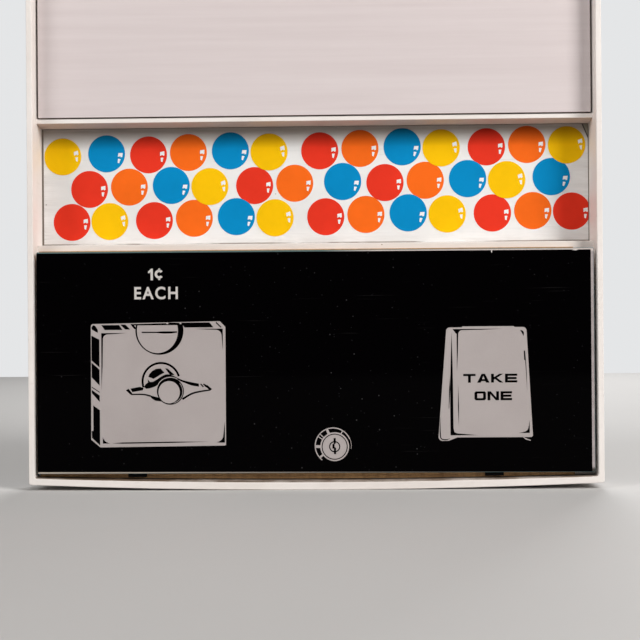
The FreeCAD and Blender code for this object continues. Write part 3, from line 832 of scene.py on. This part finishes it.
def chute_flap(silver, black):
    """The delivery flap, drawn as a deep door seen from a little to its left."""
    body = Print(LOWER_LOW, LOWER_LOW.y, SILVER_LAYER, FLAP_PLACE)
    body.add(rounded_outline([
        (-11.5, -2.4, 2.8), (-4.0, -2.2, 1.5), (2.0, 0.1, 1.0), (55.1, 0.1, 1.4), (51.0, 77.6, 2.6),
        (42.6, 77.7, 0.2), (42.2, 78.3, 0.2), (6.0, 78.3, 0.2), (5.6, 77.7, 0.2), (-5.2, 77.6, 2.4),
    ]))
    body.add(stroke_outline([(47.6, 0.4), (50.2, -1.2), (53.4, -2.3)], [0.2, 0.9, 0.5]))
    body.piece("chute_flap_print", silver, "dark_glass")

    lines = Print(LOWER_LOW, LOWER_LOW.y, DETAIL_LAYER, FLAP_PLACE)
    lines.add([
        (-1.6, 74.6), (-1.0, 50.0), (-0.8, 31.0), (-0.7, 6.4), (0.0, 3.8), (2.0, 2.9),
        (7.0, 2.5), (16.4, 1.6), (-2.8, 1.6), (-2.9, 25.0), (-2.6, 43.6),
    ])
    lines.add(stroke_outline([(-2.8, 44.0), (-3.2, 34.0), (-3.8, 20.5)], [0, 0.8, 0.3]))
    lines.add(corner_accent(2.0, 76.5, 32.0, -30.0, 2.8, 0.8, 1.1))
    lines.add([(-0.9, 76.5), (2.4, 76.5), (2.4, 73.0), (1.4, 73.4)])
    lines.add(corner_accent(52.8, 3.0, -8.0, 9.0, 3.6))
    lines.add(stroke_outline([(2.8, 37.4), (2.9, 22.0), (3.0, 8.0)], [0, 0.7, 0]))
    lines.add([(46.6, 75.6), (48.6, 75.0), (49.3, 73.4), (49.0, 71.2), (48.0, 73.2)])
    lines.add(stroke_outline([(49.5, 61.0), (49.9, 54.4)], [0.9, 1.1]))
    lines.add(stroke_outline([(50.3, 54.4), (50.8, 44.0), (51.3, 32.2)], [0.5, 0.4, 0]))
    hinge_side = smooth_line([(-9.9, 15.0), (-10.1, 3.0), (-9.2, -0.8), (-6.0, -1.5), (-3.0, -0.6)])
    lines.add(stroke_outline(hinge_side, [0, 0.8, 0.7, 0.7, 0]))
    lines.piece("chute_flap_lines", black, "dark_glass")


def lock(silver, black):
    """The cylinder lock: a key disc in front of a short round body."""
    body = Print(LOWER_LOW, LOWER_LOW.y, SILVER_LAYER, LOCK_PLACE)
    body_centre = (-1.1, 0.6)
    body.band(body_centre, 12.3, 13.0, 22, 232)
    body.band(body_centre, 12.7, 13.0, -10, 21.5)
    spokes = (
        (64, 57, 0.8), (114, 110.5, 1.7), (140, 137.6, 0.6),
        (149, 148, 0.6), (179.5, 182, 1.9), (215, 221, 1.4),
    )
    for inner_angle, outer_angle, width in spokes:
        inner = turned([(9.8, 0.0)], inner_angle)[0]
        outer = moved(turned([(12.5, 0.0)], outer_angle), body_centre)[0]
        body.add(stroke_outline([inner, outer], [width, width]))
    body.piece("lock_body_print", silver, "dark_glass")

    disc = Print(LOWER_LOW, LOWER_LOW.y, DETAIL_LAYER, LOCK_PLACE)
    disc.add(circle_points((0.0, 0.0), 10.2))
    disc.piece("lock_disc_print", silver, "dark_glass")

    lines = Print(LOWER_LOW, LOWER_LOW.y, TRIM_LAYER, LOCK_PLACE)
    lines.band((0.0, 0.0), 8.55, 9.2, 0, 360)
    lines.band((0.0, 0.0), 3.15, 3.95, 0, 360)
    lines.piece("lock_rings", black, "dark_glass")

    keyway = Print(LOWER_LOW, LOWER_LOW.y, TRIM_LAYER + FIELD_LAYER, LOCK_PLACE)
    keyway.add([
        (-0.7, 6.1), (0.8, 6.1), (0.8, 2.5), (-0.1, 1.7), (-0.1, -0.1), (1.0, -1.0),
        (1.0, -5.2), (-0.5, -5.2), (-0.5, -1.4), (-1.6, -1.3), (-1.6, 1.7), (-0.7, 2.2),
    ])
    keyway.piece("lock_keyway", black, "dark_glass")


def price_figures(look):
    """A one and a cent sign, in plain heavy strokes."""
    figures = Print(LOWER_LOW, LOWER_LOW.y, SILVER_LAYER, PRICE_PLACE)
    figures.add([
        (-5.1, 1.0), (-5.3, 1.9), (-3.0, 4.0), (-1.8, 4.0),
        (-1.7, -4.2), (-3.4, -4.2), (-3.5, 1.7), (-4.4, 0.7),
    ])
    centre = (2.7, 0.1)
    cent = arc_points(centre, 3.2, 3.2, 40, 320, 32) + arc_points(centre, 1.45, 1.45, 320, 40, 24)
    figures.add(cent)
    figures.add([(1.6, 2.8), (3.8, 2.8), (3.1, 4.2), (2.3, 4.2)])
    figures.add([(2.0, -4.1), (3.4, -4.1), (3.4, -2.8), (2.0, -2.8)])
    figures.piece("price_figures", look, "dark_glass")


def gumball_places():
    """Ink letter, x and height of each printed gumball."""
    places = []
    limit = CARD_HIGH.x / MM - EDGE_ROOM
    for row, (letters, start) in enumerate(BALL_ROWS):
        row_height = BOTTOM_ROW_HEIGHT + (len(BALL_ROWS) - 1 - row) * ROW_GAP
        for i, letter in enumerate(letters):
            shift_x, shift_height = INK_SHIFTS[letter]
            gap = HALF_GAP if i >= HALF_COUNT else 0.0
            x = min(start + i * BALL_PITCH + gap + shift_x, limit)
            places.append((letter, x, row_height + i * BALL_RISE + shift_height))
    return places


def gumballs():
    """The printed gumballs, one piece for each ink, and their white glints."""
    levels = {letter: INK_STEP * (i + 1) for i, letter in enumerate(INK_COLOURS)}
    prints = {letter: Print(CARD_LOW, CARD_LOW.y, level) for letter, level in levels.items()}
    glints = Print(CARD_LOW, CARD_LOW.y, INK_STEP * (len(levels) + 1))
    limit = CARD_HIGH.x / MM
    for letter, x, height in gumball_places():
        disc = circle_points((x, height), BALL_RADIUS)
        prints[letter].add([(min(px, limit), pz) for px, pz in disc])
        for patch in (GLINT_UPPER, GLINT_LOWER):
            glints.add(moved(turned(patch, GLINT_TURNS[letter]), (x, height)))
    for letter, shapes in prints.items():
        shapes.piece("gumballs_" + INK_NAMES[letter], ball_ink(letter), "card")
    glints.piece("gumball_glints", white_ink(), "card")


# ---------------------------------------------------------------- looks of the CAD nodes

def dress(look, *names):
    """One material on every slot of the named nodes."""
    for name in names:
        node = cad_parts[name]
        if not node.material_slots:
            node.data.materials.append(look)
        for slot in node.material_slots:
            slot.material = look


def dress_frame_nodes():
    names = list(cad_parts)
    dress(aged_plastic(), "frame_moulding")
    dress(coated_glass(), "upper_glass")
    dress(bare_glass(), "lower_glass")
    dress(card_paper(), "gumball_card")
    # The mounting board is painted brighter than the back board, as painted light for the light reaching its
    # strips below and above the lower glass.
    dress(hardboard("mounting_hardboard", 2.5), "mounting_board")
    dress(hardboard("back_hardboard", 1.3), "back_board")
    dress(foam(), *[name for name in names if "tape" in name])
    dress(zinc_steel(), *[name for name in names if name.startswith(("turn_button", "hanger"))])
    dress(bumper_rubber(), *[name for name in names if name.startswith("wall_bumper")])


# ---------------------------------------------------------------- stage

def add_floor():
    mesh = bmesh.new()
    half = FLOOR_HALF_WIDTH
    level = Vector(CAD_BOX[0]).z
    corners = [(-half, -half), (half, -half), (half, half), (-half, half)]
    mesh.faces.new([mesh.verts.new((x, y, level)) for x, y in corners])
    data = bpy.data.meshes.new("floor")
    mesh.to_mesh(data)
    mesh.free()
    data.materials.append(pale_floor())
    floor = bpy.data.objects.new("floor", data)
    bpy.context.scene.collection.objects.link(floor)


def add_light(name, direction, distance, width, height, power, colour=(1.0, 1.0, 1.0)):
    """An upright softbox at a distance from the object's middle, facing it."""
    data = bpy.data.lights.new(name, "AREA")
    data.shape = "RECTANGLE"
    data.size = width
    data.size_y = height
    data.energy = power
    data.color = colour
    light = bpy.data.objects.new(name, data)
    towards = Vector(direction).normalized()
    light.location = Vector(LIGHT_TARGET) + towards * distance
    light.rotation_euler = (-towards).to_track_quat("-Z", "Y").to_euler()
    bpy.context.scene.collection.objects.link(light)


def add_world():
    """Pale behind the object, and dim as a light, so that the lamps shape the object."""
    world = bpy.data.worlds.new("studio")
    bpy.context.scene.world = world
    world.use_nodes = True
    nodes = world.node_tree.nodes
    links = world.node_tree.links
    seen = nodes["Background"]
    seen.inputs["Color"].default_value = (0.78, 0.79, 0.80, 1.0)
    seen.inputs["Strength"].default_value = 1.0
    lit = nodes.new("ShaderNodeBackground")
    lit.inputs["Color"].default_value = (0.95, 0.97, 1.0, 1.0)
    lit.inputs["Strength"].default_value = 0.03
    path = nodes.new("ShaderNodeLightPath")
    blend = nodes.new("ShaderNodeMixShader")
    links.new(path.outputs["Is Camera Ray"], blend.inputs["Fac"])
    links.new(lit.outputs["Background"], blend.inputs[1])
    links.new(seen.outputs["Background"], blend.inputs[2])
    links.new(blend.outputs["Shader"], nodes["World Output"].inputs["Surface"])


def add_camera():
    data = bpy.data.cameras.new("camera")
    data.lens = CAMERA_LENS
    data.sensor_width = SENSOR_WIDTH
    camera = bpy.data.objects.new("camera", data)
    turn = Matrix.Rotation(math.radians(CAMERA_YAW), 4, "Z")
    turn = turn @ Matrix.Rotation(math.radians(CAMERA_PITCH), 4, "X")
    turn = turn @ Matrix.Rotation(math.radians(CAMERA_ROLL), 4, "Y")
    turn = turn @ Matrix.Rotation(math.radians(90), 4, "X")
    camera.matrix_world = Matrix.Translation(CAMERA_PLACE) @ turn
    bpy.context.scene.collection.objects.link(camera)
    bpy.context.scene.camera = camera


def build():
    dress_frame_nodes()
    black = black_ink()
    silver = silver_ink("silver_ink", (0.435, 0.390, 0.380), (0.400, 0.355, 0.345))
    bright = silver_ink("bright_silver_ink", (0.60, 0.57, 0.54), (0.55, 0.52, 0.50))
    black_field(black, bright)
    coin_plate(silver, black)
    chute_flap(silver, black)
    lock(silver, black)
    price_figures(bright)
    lettering("price_word", "EACH", EACH_PLACE, *EACH_SIZE, EACH_BOLDNESS, SILVER_LAYER, bright)
    take = (FLAP_PLACE[0] + TAKE_OFFSET[0], FLAP_PLACE[1] + TAKE_OFFSET[1])
    one = (FLAP_PLACE[0] + ONE_OFFSET[0], FLAP_PLACE[1] + ONE_OFFSET[1])
    block_word("flap_word_upper", "TAKE", take, *TAKE_SIZE, FLAP_WORD_GAP, black)
    block_word("flap_word_lower", "ONE", one, *ONE_SIZE, FLAP_WORD_GAP, black)
    gumballs()
    add_floor()
    add_light("key", (1.28, -1.0, 1.0), 2.9, 1.0, 2.0, 85.0, (1.0, 0.985, 0.97))
    add_light("left_fill", (-1.35, -1.0, 1.0), 2.9, 1.1, 1.8, 41.0, (1.0, 0.99, 0.98))
    add_light("top_fill", (-0.1, -1.0, 1.4), 2.3, 1.4, 1.2, 4.5)
    add_light("back_fill", (0.25, 1.0, 0.6), 2.2, 1.2, 1.2, 34.0)
    add_world()
    add_camera()
    bpy.context.scene.view_settings.view_transform = "Standard"


build()
